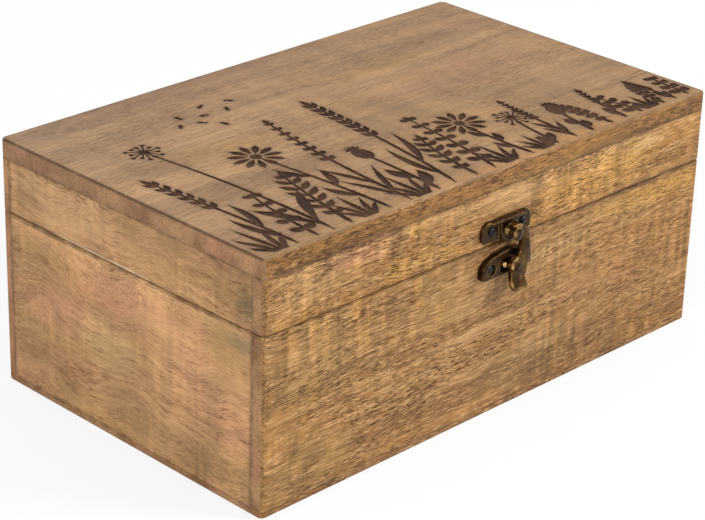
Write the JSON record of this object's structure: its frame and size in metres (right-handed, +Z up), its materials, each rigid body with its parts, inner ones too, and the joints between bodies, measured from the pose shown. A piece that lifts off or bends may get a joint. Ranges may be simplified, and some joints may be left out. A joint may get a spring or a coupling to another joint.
{
  "type": "keepsake box",
  "caption": "Low wooden keepsake box with a back-hinged lid, a swinging hook latch and a burnt meadow border on the lid.",
  "frame": {"origin": "centre of the base panel's underside", "axes": "+X along the box's length, to the right seen from the latch side; +Y from the front (latch) to the back (hinges); +Z up"},
  "size_m": [0.25, 0.1608, 0.105],
  "materials": {
    "side_wood": "oiled, open pored",
    "top_wood": "oiled, open pored",
    "base_wood": "oiled",
    "antique_brass": "antique, dark bronze with worn edges",
    "hinge_brass": "antique",
    "dark_nails": "dark, blued"
  },
  "bodies": {
    "box": {"base_panel": "base_wood", "body_back_board": "side_wood", "body_front_board": "side_wood", "body_left_end": "side_wood", "body_right_end": "side_wood", "hinge_body_nails": "hinge_brass", "hinge_left_body_leaf": "hinge_brass", "hinge_left_pin": "hinge_brass", "hinge_right_body_leaf": "hinge_brass", "hinge_right_pin": "hinge_brass", "latch_base_nails": "dark_nails", "latch_base_plate": "antique_brass", "latch_pivot_rivet": "antique_brass", "latch_stop_ball": "antique_brass"},
    "lid": {"hinge_left_lid_leaf": "hinge_brass", "hinge_lid_nails": "hinge_brass", "hinge_right_lid_leaf": "hinge_brass", "latch_keeper_nails": "dark_nails", "latch_keeper_plate": "antique_brass", "latch_keeper_post": "antique_brass", "lid_back_rail": "side_wood", "lid_front_rail": "side_wood", "lid_left_end": "side_wood", "lid_right_end": "side_wood", "lid_top_board": "top_wood"},
    "hook": {"latch_hook": "antique_brass"}
  },
  "joints": [
    {"name": "lid_hinge", "type": "hinge", "parent": "box", "child": "lid", "pos_m": [0, 0.07615, 0.0755], "axis": [-1, 0, 0], "range_deg": [0, 105]},
    {"name": "hook_pivot", "type": "hinge", "parent": "box", "child": "hook", "pos_m": [0.0036, -0.075, 0.0653], "axis": [0, 1, 0], "range_deg": [0, 80]}
  ]
}
